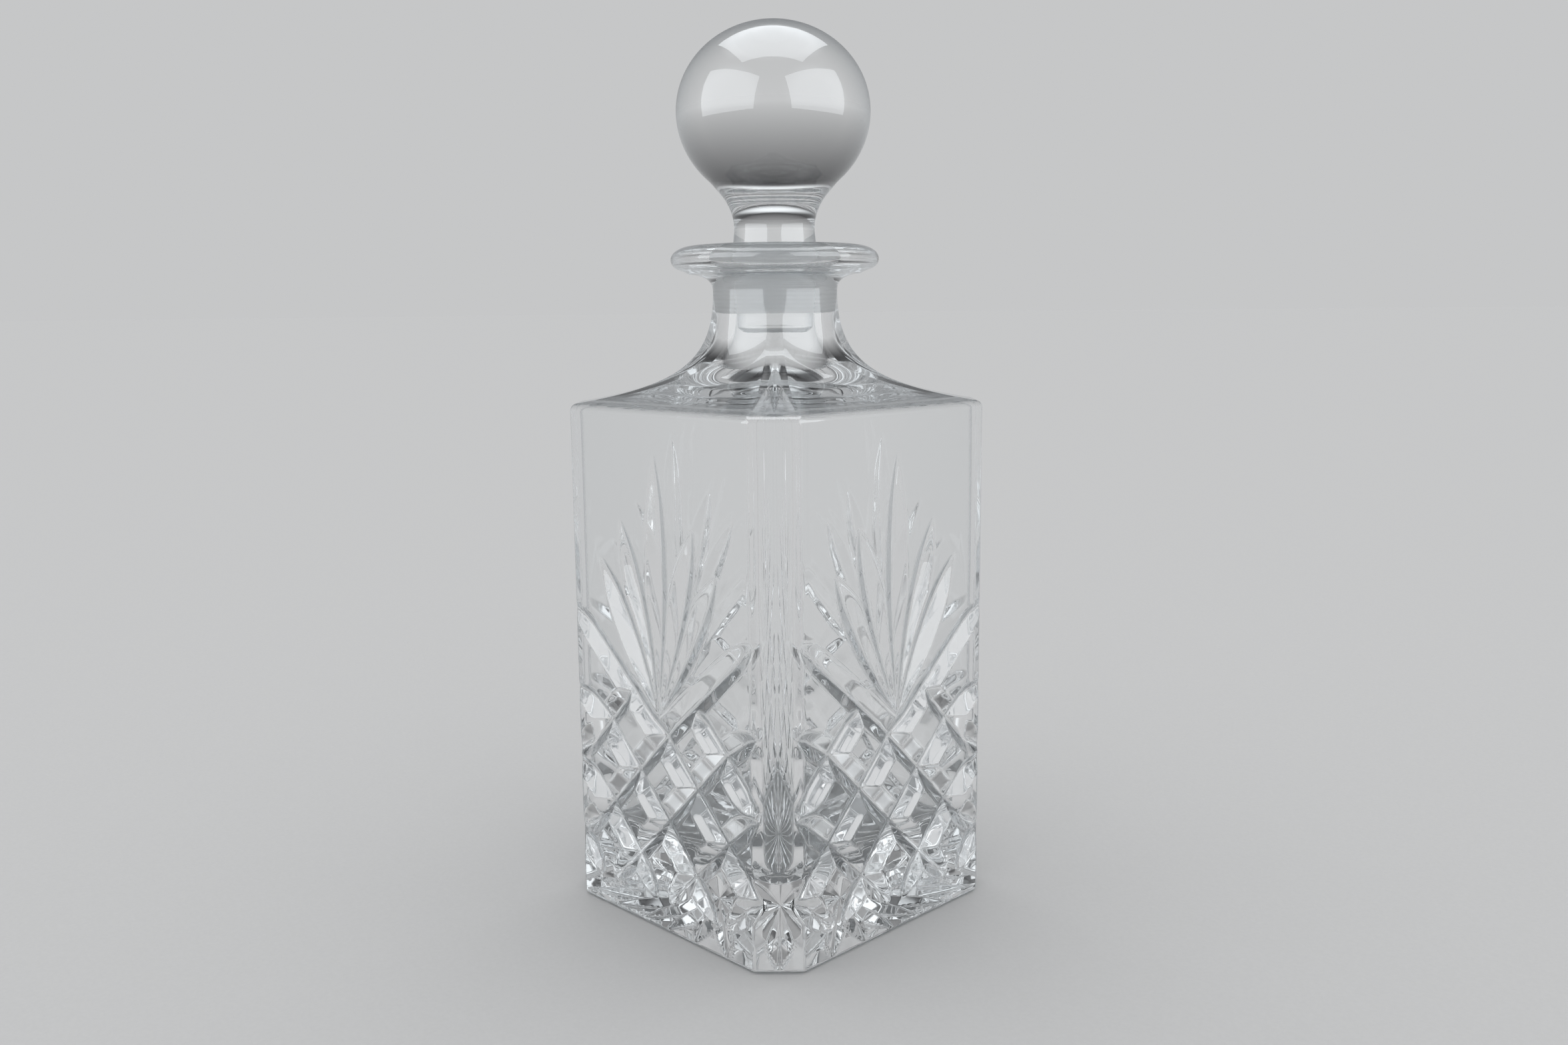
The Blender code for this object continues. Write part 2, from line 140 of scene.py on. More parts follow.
# Fan of leaves
FAN_BASE = (0.0, 0.0612)
FAN_TIPS = ((0.0, 0.1325), (0.0150, 0.1139), (-0.0150, 0.1139), (0.0241, 0.1026), (-0.0241, 0.1026))
LEAF_DEPTH = 0.0023
LEAF_HALF = 0.0043
LEAF_STEPS = 40
LEAF_PLACE_SHARES = (0, 0.14, 0.30, 0.46, 0.64, 0.80, 0.92, 1.0)
LEAF_WIDTH_SHARES = (0, 0.40, 0.78, 1.0, 0.98, 0.80, 0.40, 0.0)
LEAF_DEPTH_SHARES = (0, 0.36, 0.74, 0.97, 1.0, 0.80, 0.40, 0.0)

# Star cut under the base
STAR_RAYS = 24
STAR_STEPS_PER_RAY = 16
STAR_RIM = 0.0030
STAR_DEPTH = 0.0028
STAR_HALF = 0.0036
RAY_PLACE_SHARES = (0, 0.30, 0.55, 0.75, 0.90, 1.0)
RAY_DEPTH_SHARES = (1, 1.0, 0.96, 0.72, 0.34, 0)
RAY_WIDTH_SHARES = (1, 1.0, 0.96, 0.74, 0.36, 0.01)
STAR_RING_SHARES = np.concatenate((np.linspace(0.012, 0.93, 90), [0.95]))

# Grid of a cut face: fine where it is cut, and plain blocks elsewhere
GRID_LOW = 0.0044
GRID_HIGH = 0.1368
ACROSS = 160
UP = 292
BLOCK = 4
ARC_STEPS = 3
CORNER_STEPS = 6
EDGE_PULL = 0.0026
POLISH = 0.00026

# Less than this counts as nothing
TINY = 1e-6

# Stopper
STOPPER_TOP = 0.2470
STOPPER_AROUND = 160
BALL_RADIUS = 0.0267
BALL_UPPER = 0.02425
BALL_LOWER = 0.0247
BALL_STEPS = 70
COLLAR_RADIUS = 0.0176
WAIST_RADIUS = 0.0111
WAIST_HEIGHT = 0.0046
FLARE_SHARES = ((0.75, 0.85), (0.55, 0.73), (0.38, 0.62), (0.24, 0.49), (0.13, 0.35), (0.04, 0.19),
                (0.0, 0.0))
SEAT_GAP = 0.0003
SEAT_STEPS = 24
GROUND_BAND = (0.1685, 0.1868)
PLUG_LENGTH = 0.0250
PLUG_BEVEL = 0.0016
WAIST_TAIL = 0.0030
PLUG_END_INSET = 0.0040
PLUG_END_SHARES = (0.45, 0.25, 0.1, 0.03)

# Step and spread of the easing along each turned profile
LIP_EASE = (0.0005, 0.0006)
WAIST_EASE = (0.0004, 0.0008)
PLUG_EASE = (0.0003, 0.0003)

# Looks
CRYSTAL_IOR = 1.55
CRYSTAL_CLEAR = (0.985, 0.99, 0.992)
# Painted shade: the crystal's colour darkens toward this where its surface is seen at a slant
CRYSTAL_SLANT_SHADE = (0.31, 0.35, 0.38)
GROUND_IOR = 1.52
GROUND_GREY = (0.94, 0.96, 0.97)
WHITE = (1.0, 1.0, 1.0)
PALE = (0.565, 0.57, 0.575)
OVERHEAD_DIM = (0.03, 0.03, 0.032)
GLOW = (1.12, 1.17, 1.2)
PAPER_DARK = (0.55, 0.555, 0.56)
PAPER_LIGHT = (0.59, 0.595, 0.60)
LAMP_COLOUR = (0.93, 0.97, 1.0)

# Stage; right, away and up are the directions of the photograph's view
FLOOR_HALF = 60.0
FLOOR_HEIGHT = -0.0004
RIGHT = Vector((math.sqrt(0.5), math.sqrt(0.5), 0.0))
AWAY = Vector((-math.sqrt(0.5), math.sqrt(0.5), 0.0))
UPWARD = Vector((0.0, 0.0, 1.0))
LAMP_AIM = Vector((0.0, 0.0, 0.2227))
LAMP_DISTANCE = 2.4
LAMP_BRIGHTNESS = 2.6

# Each softbox has a direction, its width and height over its distance, and the cosines where its glow
# starts and where it is full
SOFTBOXES = {
    "overhead": (UPWARD + 0.115 * AWAY, (1.2, 1.16), (0.80, 0.90)),
    "left": (-0.81 * RIGHT - 0.55 * AWAY + 0.20 * UPWARD, (1.4, 1.3), (0.72, 0.90)),
    "right": (0.81 * RIGHT - 0.55 * AWAY + 0.20 * UPWARD, (1.4, 1.3), (0.72, 0.90)),
}

CAMERA_PLACE = (0.27812, -0.27152, 0.16940)
CAMERA_DEGREES = (81.154, 0.533, 45.325)
CAMERA_LENS = 31.44
CAMERA_SENSOR = 36.0

# A ray needs many bounces to leave the cut base
BOUNCES = 96


def lerp(low, high, share):
    return low + (high - low) * share


def smooth_step(value):
    value = np.clip(value, 0.0, 1.0)
    return value * value * (3 - 2 * value)


def bell(count, step, spread):
    """Weights of a smooth average over a count of steps to either side."""
    weights = np.exp(-0.5 * (np.arange(-count, count + 1) * step / spread) ** 2)
    return weights / weights.sum()


def from_face(angles):
    """How far each angle is from the middle of the nearest face."""
    quarter = math.pi / 2
    return np.abs((angles + quarter / 2) % quarter - quarter / 2)


# Cut field: how deep the face is cut at each point


def leg_depth(across, up, start, end, stations):
    """Depth of a straight V cut from start to end. Stations are (distance along, depth, half width)."""
    direction = np.subtract(end, start)
    length = math.hypot(*direction)
    direction = direction / length
    table = np.array(stations)
    rel_across, rel_up = across - start[0], up - start[1]
    along = rel_across * direction[0] + rel_up * direction[1]
    clamped = np.clip(along, table[0, 0], table[-1, 0])
    aside = np.hypot(rel_across - clamped * direction[0], rel_up - clamped * direction[1])
    depth = np.interp(clamped, table[:, 0], table[:, 1])
    half = np.interp(clamped, table[:, 0], table[:, 2])
    return depth * np.clip(1 - aside / np.maximum(half, TINY), 0.0, None)


def scaled(table, length):
    """Stations of a cut from (share of the length, depth, half width)."""
    return [(share * length, depth, half) for share, depth, half in table]


def run(length, end=None):
    """Stations of a lattice cut, which shrinks at its end where that end's depth and half width are given."""
    if not end:
        return [(0.0, *LATTICE), (length, *LATTICE)]
    eased_size = tuple(lerp(a, b, EASE_SIZE_SHARE) for a, b in zip(end, LATTICE))
    return [(0.0, *LATTICE), (length - EASE_LENGTH, *LATTICE),
            (length - EASE_LENGTH * EASE_PLACE_SHARE, *eased_size), (length, *end)]


def leaf(length):
    """Stations of a leaf: narrow where it starts, widest past the middle, with a rounded point."""
    shares = np.arange(LEAF_STEPS + 1) / LEAF_STEPS
    deep = np.interp(shares, LEAF_PLACE_SHARES, LEAF_DEPTH_SHARES)
    wide = np.interp(shares, LEAF_PLACE_SHARES, LEAF_WIDTH_SHARES)
    table = np.stack((length * shares, LEAF_DEPTH * deep, LEAF_HALF * wide), 1)
    kernel = np.array((1.0, 2.0, 3.0, 2.0, 1.0)) / 9
    for column in (1, 2):
        table[2:-2, column] = np.convolve(table[:, column], kernel, "valid")
    return table


def past(start, end, distance):
    """The point that lies a distance beyond end on the line from start."""
    length = math.dist(start, end)
    return tuple(lerp(a, b, 1 + distance / length) for a, b in zip(start, end))


def rising_cuts(across, up):
    """Depth of the cuts that rise to the right; their mirror images rise to the left."""
    legs = []

    def add(start, end, stations):
        legs.append(leg_depth(across, up, start, end, stations))

    def add_run(start, end, mark=None):
        add(start, end, run(math.dist(start, end), end=mark))

    def add_run_out(start):
        tip = (start[0] - (start[1] - FOOT_TIP), FOOT_TIP)
        add(start, tip, scaled(RUN_OUT, math.dist(start, tip)))

    # From the top crossing down to the lower left, and up to the right as the long arm
    crossing = (0.0, ROW_A)
    low_left = (-FLAT_HALF, ROW_D)
    add(crossing, low_left, [(0.0, *CROSS), (CROSS_LENGTH, *LATTICE)]
        + run(math.dist(crossing, low_left), end=SIDE_MARK)[1:])
    tip = (FLAT_HALF, ARM_TIP_HEIGHT)
    arm_length = math.dist(crossing, tip)
    add(crossing, past(crossing, tip, ARM_OVERRUN), [(0.0, *CROSS), ARM_START] + scaled(ARM, arm_length)
        + [(arm_length + ARM_OVERRUN, 0.0, POINT_HALF)])

    # From the foot, left of the middle, up to the right edge through a crossing and a bend
    start, crossing, bend = (-PITCH, ROW_D), (0.0, ROW_C), (2 * PITCH, ROW_A)
    add_run_out(start)
    add(start, crossing, [(0.0, *FOOT_CUT), (math.dist(start, crossing), *LATTICE)])
    add_run(crossing, bend)
    add_run(bend, (FLAT_HALF, UPPER_SIDE_HEIGHT), SIDE_MARK)

    # From the foot, right of the middle, up to the right edge
    start, bend = (PITCH, ROW_D), (2 * PITCH, ROW_C)
    add_run_out(start)
    add(start, bend, [(0.0, *FOOT_CUT), (math.dist(start, bend), *LATTICE)])
    add_run(bend, (FLAT_HALF, LOWER_SIDE_HEIGHT), SIDE_MARK)

    # The foot of a cut at the right edge, and at the left edge a cut with a bend and a short stub
    add_run_out((FLAT_HALF, ROW_D))
    bend = (-2 * PITCH, ROW_A)
    add_run(bend, (-FLAT_HALF, ROW_B), SIDE_MARK)
    stub = (bend[0] + STUB_RUN, bend[1] + STUB_RUN)
    add(bend, stub, scaled(STUB, math.dist(bend, stub)))
    return np.maximum.reduce(legs)


def fan_cuts(across, up):
    """Depth of the five leaves that spread above the top crossing."""
    return np.maximum.reduce([leg_depth(across, up, FAN_BASE, tip, leaf(math.dist(FAN_BASE, tip)))
                              for tip in FAN_TIPS])


def polished(field, spread):
    """The field with its edges eased, as acid polishing leaves them; spread is in grid steps."""
    kernel = bell(int(math.ceil(3 * spread)), 1, spread)
    for axis in (0, 1):
        field = np.apply_along_axis(lambda line: np.convolve(line, kernel, "same"), axis, field)
    return field


def face_depths(columns, rows):
    """Depth at each (row, column) of the face's grid, from a field twice as fine."""
    margin = 8
    fine_across = (columns[1] - columns[0]) / 2
    fine_up = (rows[1] - rows[0]) / 2
    wide = columns[0] + fine_across * np.arange(-margin, 2 * (len(columns) - 1) + margin + 1)
    tall = rows[0] + fine_up * np.arange(-margin, 2 * (len(rows) - 1) + margin + 1)
    across, up = np.meshgrid(wide, tall)
    rising = rising_cuts(across, up)
    field = np.maximum(np.maximum(rising, rising[:, ::-1]), fan_cuts(across, up))
    field = polished(field, POLISH / fine_across)
    return field[margin:-margin:2, margin:-margin:2]


# Cut walls


def corner_arc():
    """Points (across, out) of the rounded edge between a face and a corner face, from face to corner."""
    tangent = EDGE_ROUND * math.tan(math.pi / 8)
    points = []
    for angle in (step * math.pi / 4 / ARC_STEPS for step in range(ARC_STEPS + 1)):
        points.append((FLAT_HALF - tangent + EDGE_ROUND * math.sin(angle),
                       HALF_SIDE - EDGE_ROUND + EDGE_ROUND * math.cos(angle)))
    return points


ARC = corner_arc()

# Columns of one side: an edge, the cut face, the other edge, then the corner face
FLAT_FIRST = ARC_STEPS
FLAT_LAST = FLAT_FIRST + ACROSS
CORNER_FIRST = FLAT_LAST + ARC_STEPS
PER_SIDE = CORNER_FIRST + CORNER_STEPS


def side_columns(flat, depths):
    """(across, out) of every column of one face and the corner face on its right, for each row."""
    left, right = depths[:, 0], depths[:, -1]
    grid = np.zeros((len(depths), PER_SIDE, 2))
    for column, (across, out) in enumerate(reversed(ARC[1:])):
        grid[:, column] = np.stack((-across - left, out - left), 1)
    pull = smooth_step((np.abs(flat) - (ARC[0][0] - EDGE_PULL)) / EDGE_PULL)
    grid[:, FLAT_FIRST:FLAT_LAST + 1, 0] = flat + np.sign(flat) * depths * pull
    grid[:, FLAT_FIRST:FLAT_LAST + 1, 1] = HALF_SIDE - depths
    for column, (across, out) in enumerate(ARC[1:], FLAT_LAST + 1):
        grid[:, column] = np.stack((across + right, out - right), 1)
    start, end = ARC[-1], ARC[-1][::-1]
    for step in range(1, CORNER_STEPS):
        share = step / CORNER_STEPS
        grid[:, CORNER_FIRST + step] = (lerp(start[0], end[0], share), lerp(start[1], end[1], share))
    return grid


def placed(grid, quadrant, heights):
    """Points in space of a side's (across, out) columns at their heights."""
    angle = quadrant * math.pi / 2
    normal = np.array((math.cos(angle), math.sin(angle)))
    right = np.array((-math.sin(angle), math.cos(angle)))
    plan = grid[..., :1] * right + grid[..., 1:] * normal
    return np.concatenate((plan, np.broadcast_to(heights, plan.shape[:-1])[..., None]), -1)


class Skin:
    """Collects points and faces of one closed mesh."""

    def __init__(self):
        self.points = []
        self.faces = []
        self.slots = []

    def add_points(self, points):
        first = len(self.points)
        self.points.extend(map(tuple, points))
        return list(range(first, len(self.points)))

    def add_face(self, corners, slot=0):
        self.faces.append(corners)
        self.slots.append(slot)

    def band(self, lower, upper, slot=0):
        """Quads between two closed rings of as many points."""
        for index in range(len(lower)):
            after = (index + 1) % len(lower)
            self.add_face((lower[index], lower[after], upper[after], upper[index]), slot)

    def seam(self, outer, outer_angles, inner, inner_angles):
        """Triangles between two closed rings of unlike counts, matched by angle."""
        a = sorted(zip(outer_angles, outer))
        b = sorted(zip(inner_angles, inner))
        i = j = 0
        while i < len(a) or j < len(b):
            here_a, here_b = a[i % len(a)][1], b[j % len(b)][1]
            if i < len(a) and (j >= len(b) or next_angle(a, i) <= next_angle(b, j)):
                self.add_face((here_a, here_b, a[(i + 1) % len(a)][1]))
                i += 1
            else:
                self.add_face((here_a, here_b, b[(j + 1) % len(b)][1]))
                j += 1


def next_angle(ring, index):
    """Angle of the ring's point after the index, a full turn on where it closes; none is left after that."""
    if index + 1 < len(ring):
        return ring[index + 1][0]
    return ring[0][0] + 2 * math.pi if index < len(ring) else math.inf


def cut_blocks(depths, rows_of, blocks):
    """For each block of the grid, whether it is cut; an edge follows the face beside it."""
    cut = np.zeros((len(rows_of), len(blocks)), bool)
    last_flat = ACROSS // BLOCK
    for b, (low, high) in enumerate(rows_of):
        for c, (left, right) in enumerate(blocks[1:last_flat + 1], 1):
            first = max(left - FLAT_FIRST - 1, 0)
            patch = depths[max(low - 1, 0):high + 2, first:right - FLAT_FIRST + 2]
            cut[b, c] = patch.max() > 0
        cut[b, 0] = cut[b, 1]
        cut[b, last_flat + 1] = cut[b, last_flat]
    return cut


def wall_skin(skin):
    """The four cut faces and four corner faces. Returns the lowest and the highest ring and their plan."""
    heights = np.linspace(GRID_LOW, GRID_HIGH, UP + 1)
    flat = np.linspace(-ARC[0][0], ARC[0][0], ACROSS + 1)
    depths = face_depths(flat, heights)
    depths[depths < TINY] = 0.0
    side = side_columns(flat, depths)
    points = np.concatenate([placed(side, quadrant, heights[:, None]) for quadrant in range(4)], 1)

    rows_of = [(row, row + BLOCK) for row in range(0, UP, BLOCK)]
    blocks = [(0, FLAT_FIRST)] + [(column, column + BLOCK) for column in range(FLAT_FIRST, FLAT_LAST, BLOCK)]
    blocks += [(FLAT_LAST, CORNER_FIRST)] + [(column, column + 1) for column in range(CORNER_FIRST, PER_SIDE)]
    cut = cut_blocks(depths, rows_of, blocks)
    used = {}

    def vertex(row, column):
        key = (row, column % (4 * PER_SIDE))
        if key not in used:
            used[key] = skin.add_points([points[key]])[0]
        return used[key]

    def is_cut(b, c):
        return 0 <= b < len(rows_of) and bool(cut[b, c % len(blocks)])

    for first in range(0, 4 * PER_SIDE, PER_SIDE):
        for b, (low, high) in enumerate(rows_of):
            for c, (left, right) in enumerate(blocks):
                if cut[b, c] or right - left == ARC_STEPS:
                    step = 1 if cut[b, c] else BLOCK
                    for row in range(low, high, step):
                        for column in range(first + left, first + right):
                            skin.add_face((vertex(row, column), vertex(row, column + 1),
                                           vertex(row + step, column + 1), vertex(row + step, column)))
                    continue
                # A plain block is one face, which takes in the points of the cut blocks beside it
                inside = range(left + 1, right)
                loop = [(low, left)]
                loop += [(low, column) for column in inside if is_cut(b - 1, c)]
                loop += [(low, right)]
                loop += [(row, right) for row in range(low + 1, high) if is_cut(b, c + 1)]
                loop += [(high, right)]
                loop += [(high, column) for column in reversed(inside) if is_cut(b + 1, c)]
                loop += [(high, left)]
                loop += [(row, left) for row in range(high - 1, low, -1) if is_cut(b, c - 1)]
                skin.add_face([vertex(row, first + column) for row, column in loop])

    ring_columns = list(range(FLAT_FIRST)) + list(range(FLAT_FIRST, FLAT_LAST + 1, BLOCK))
    ring_columns += range(FLAT_LAST + 1, PER_SIDE)
    columns = [first + column for first in range(0, 4 * PER_SIDE, PER_SIDE) for column in ring_columns]
    plan = points[0][columns, :2]
    return [vertex(0, c) for c in columns], [vertex(UP, c) for c in columns], plan


# Rest of the body, ring by ring


def add_ring(skin, angles, radii, height):
    radii = np.broadcast_to(radii, angles.shape)
    return skin.add_points(np.stack((radii * np.cos(angles), radii * np.sin(angles),
                                     np.full(len(angles), height)), 1))


def add_levels(skin, angles, current, levels, slot=0):
    """Bands from the current ring through the (radii, height) levels. Returns the last ring."""
    for radii, height in levels:
        following = add_ring(skin, angles, radii, height)
        skin.band(current, following, slot)
        current = following
    return current


def drawn_in(reach, inset):
    """The plan's reach, made smaller all round so that each face moves in by the inset."""
    return reach * (1 - inset / HALF_SIDE)


def sweep(start, start_pull, end_pull, end, steps):
    """Points of a cubic curve between (share, height) pairs, without its start."""
    t = np.linspace(0, 1, steps + 1)[1:, None]
    start, start_pull, end_pull, end = (np.array(point) for point in (start, start_pull, end_pull, end))
    return ((1 - t) ** 3 * start + 3 * t * (1 - t) ** 2 * start_pull
            + 3 * t * t * (1 - t) * end_pull + t ** 3 * end)


def eased(profile, step, spread):
    """The profile at even steps along its length, with its corners eased over the spread."""
    profile = np.array(profile, float)
    lengths = np.concatenate(([0], np.cumsum(np.hypot(*np.diff(profile, axis=0).T))))
    count = int(lengths[-1] / step)
    even = np.linspace(0, lengths[-1], count + 1)
    points = np.stack([np.interp(even, lengths, profile[:, axis]) for axis in (0, 1)], 1)
    pad = int(4 * spread / step)
    low = 2 * points[0] - points[1:pad + 1][::-1]
    high = 2 * points[-1] - points[-pad - 1:-1][::-1]
    padded = np.concatenate((low, points, high))
    kernel = bell(pad, step, spread)
    return np.stack([np.convolve(padded[:, axis], kernel, "valid") for axis in (0, 1)], 1)


def foot(skin, angles, reach, current):
    """From the lowest ring of the wall round to the underside, which has the star cut in it."""
    for angle in np.radians(np.arange(0, 91, 18)):
        inset = FOOT_ROUND * (1 - math.cos(angle))
        below = add_ring(skin, angles, drawn_in(reach, inset), FOOT_ROUND * (1 - math.sin(angle)))
        skin.band(below, current)
        current = below
    support = add_ring(skin, angles, drawn_in(reach, FOOT_ROUND + FOOT_LAND), 0.0)
    skin.band(support, current)
    star_skin(skin, support, angles)


def shoulder_levels(reach):
    """The plain top of the wall, its round edge and the sweep up to the neck."""
    levels = [(reach, PLAIN_WALL_RING), (reach, SHOULDER_HEIGHT - SHOULDER_ROUND)]
    for angle in np.radians(np.arange(15, 91, 15)):
        levels.append((drawn_in(reach, SHOULDER_ROUND * (1 - math.cos(angle))),
                       SHOULDER_HEIGHT - SHOULDER_ROUND * (1 - math.sin(angle))))
    outer = drawn_in(reach, SHOULDER_ROUND)
    curve = sweep((1.0, SHOULDER_HEIGHT), (SWEEP_SHARE, SHOULDER_HEIGHT + SWEEP_RISE),
                  (0.0, NECK_START - SWEEP_DROP), (0.0, NECK_START), SWEEP_STEPS)
    return levels + [(lerp(NECK_RADIUS, outer, share), height) for share, height in curve]


def lip_levels():
    """The neck's top, the fillet under the lip, its round rim, its flat top and the mouth's bevel."""
    middle = LIP_TOP - LIP_CROWN_RISE
    under = middle - LIP_BELLY_DROP - LIP_UNDER_SLOPE
    quarter = np.radians(np.arange(0, 91, 15))
    profile = [(NECK_RADIUS, NECK_START)]
    profile += [(NECK_RADIUS + LIP_FILLET_RUN * (1 - math.cos(angle)),
                 under - LIP_FILLET_DROP * (1 - math.sin(angle))) for angle in quarter]
    profile += [(LIP_RADIUS - LIP_BELLY_RUN * (1 - math.cos(angle)),
                 middle + LIP_BELLY_DROP * math.sin(angle)) for angle in -quarter[:0:-1]]
    profile += [(LIP_RADIUS - LIP_CROWN_RUN * (1 - math.cos(angle)),
                 middle + LIP_CROWN_RISE * math.sin(angle)) for angle in quarter]
    levels = list(eased(profile, *LIP_EASE)[1:])
    levels += [(radius, LIP_TOP) for radius in LIP_TOP_RADII]
    for angle in np.radians(np.arange(0, 91, 30)):
        levels.append((BORE_MOUTH + MOUTH_BEVEL * (1 - math.sin(angle)),
                       LIP_TOP - MOUTH_BEVEL * (1 - math.cos(angle))))
    return levels


def bore_levels():
    """The tapered seat, from the mouth's bevel down."""
    shares = [step / SEAT_STEPS for step in range(1, SEAT_STEPS + 1)]
    return [(lerp(BORE_MOUTH, BORE_END, share), lerp(LIP_TOP - MOUTH_BEVEL, BORE_END_HEIGHT, share))
            for share in shares]


def inner_reach(angles, inset):
    """Distance from the axis to the inner wall's rounded square, moved in by the inset."""
    turned = from_face(angles)
    half = HALF_SIDE - WALL - inset
    corner = max(INNER_CORNER - inset, LEAST_CORNER)
    straight = half - corner
    flat = half / np.cos(turned)
    across = straight * (np.cos(turned) - np.sin(turned))
    rounded = straight * (np.cos(turned) + np.sin(turned)) + np.sqrt(np.maximum(corner ** 2 - across ** 2, 0))
    return np.where(half * np.tan(turned) <= straight, flat, rounded)


def waves(angles, height):
    """The slight unevenness that a moulded inside has."""
    return sum(size * np.sin(around * angles + climb * height + start)
               for size, around, climb, start in INNER_WAVES)


def inside_levels(angles):
    """From the bore's end down the neck, under the shoulder, down the inner walls and over the floor."""
    levels = []
    ceiling = inner_reach(angles, CEILING_ROUND)
    curve = sweep((0.0, BORE_END_HEIGHT), (0.0, BORE_END_HEIGHT - INNER_SWEEP_DROP),
                  (SWEEP_SHARE, CEILING + INNER_SWEEP_RISE), (1.0, CEILING), INNER_SWEEP_STEPS)
    for share, height in curve:
        unevenness = waves(angles, height) * smooth_step(share * 3)
        levels.append((lerp(BORE_END, ceiling, share) + unevenness, height))

    # The walls, as (height, inset) from the ceiling's edge down to the floor's
    wall = []
    for angle in np.radians(np.arange(18, 91, 18)):
        wall.append((CEILING - CEILING_ROUND * (1 - math.cos(angle)), CEILING_ROUND * (1 - math.sin(angle))))
    for step in range(1, INNER_WALL_STEPS + 1):
        share = step / INNER_WALL_STEPS
        wall.append((lerp(CEILING - CEILING_ROUND, BASE + FLOOR_ROUND, share), 0.0))
    for angle in np.radians(np.arange(9, 91, 9)):
        wall.append((BASE + FLOOR_ROUND * (1 - math.sin(angle)), FLOOR_ROUND * (1 - math.cos(angle))))
    for height, inset in wall:
        levels.append((inner_reach(angles, inset) + waves(angles, height), height))

    floor_edge = inner_reach(angles, FLOOR_ROUND) + waves(angles, BASE)
    return levels + [(floor_edge * share, BASE) for share in FLOOR_SHARES]


def outline_reach(angles):
    """Distance from the axis to the eight-sided outside."""
    turned = from_face(angles)
    corner = HALF_SIDE * math.sqrt(2) - CORNER_FACE / 2
    return np.minimum(HALF_SIDE / np.cos(turned), corner / np.cos(math.pi / 4 - turned))


def star_skin(skin, support, support_angles):
    """The star cut under the base: long V cuts that cross in the middle and run out near the edge."""
    count = STAR_RAYS * STAR_STEPS_PER_RAY
    angles = np.arange(count) * 2 * math.pi / count
    radii = STAR_RING_SHARES[:, None] * outline_reach(angles)
    depths = np.zeros(radii.shape)
    for ray in range(STAR_RAYS):
        ray_angle = 2 * math.pi * ray / STAR_RAYS
        tip = outline_reach(np.array(ray_angle)) - STAR_RIM
        along = radii * np.cos(angles - ray_angle)
        aside = np.abs(radii * np.sin(angles - ray_angle))
        share = np.clip(along / tip, 0, 1)
        deep = STAR_DEPTH * np.interp(share, RAY_PLACE_SHARES, RAY_DEPTH_SHARES)
        half = np.maximum(STAR_HALF * np.interp(share, RAY_PLACE_SHARES, RAY_WIDTH_SHARES), TINY)
        depths = np.maximum(depths, np.where(along > 0, deep * np.clip(1 - aside / half, 0, None), 0))
    rings = []
    for radius, depth in zip(radii, depths):
        points = np.stack((radius * np.cos(angles), radius * np.sin(angles), depth), 1)
        rings.append(skin.add_points(points))
    for inner, outer in zip(rings, rings[1:]):
        skin.band(inner, outer)
    hub = skin.add_points([(0.0, 0.0, STAR_DEPTH)])[0]
    for index in range(count):
        skin.add_face((hub, rings[0][index], rings[0][(index + 1) % count]))
    skin.seam(support, list(support_angles % (2 * math.pi)), rings[-1], list(angles))


def body_mesh():
    """The bottle: cut walls, foot, shoulder, neck and lip, the ground bore and the inside."""
    skin = Skin()
    low_ring, high_ring, plan = wall_skin(skin)
    angles = np.arctan2(plan[:, 1], plan[:, 0])
    reach = np.hypot(plan[:, 0], plan[:, 1])
    foot(skin, angles, reach, low_ring)
    mouth = add_levels(skin, angles, high_ring, shoulder_levels(reach) + lip_levels())
    seat_end = add_levels(skin, angles, mouth, bore_levels(), slot=1)
    innermost = add_levels(skin, angles, seat_end, inside_levels(angles))
    skin.add_face(list(reversed(innermost)))
    return finished_mesh(skin, "crystal_body")


def finished_mesh(skin, name):
    """The skin as a smooth shaded object."""
    mesh = bpy.data.meshes.new(name)
    mesh.from_pydata(skin.points, [], skin.faces)
    mesh.polygons.foreach_set("material_index", skin.slots)
    mesh.update()
    piece = bpy.data.objects.new(name, mesh)
    bpy.context.scene.collection.objects.link(piece)
    face_outward(mesh)
    mesh.shade_smooth()
    even = piece.modifiers.new("even_normals", "WEIGHTED_NORMAL")
    even.mode = "FACE_AREA"
    even.weight = 50
    even.keep_sharp = False
    return piece


def face_outward(mesh):
    bm = bmesh.new()
    bm.from_mesh(mesh)
    bmesh.ops.recalc_face_normals(bm, faces=bm.faces)
    bm.to_mesh(mesh)
    bm.free()


# Stopper


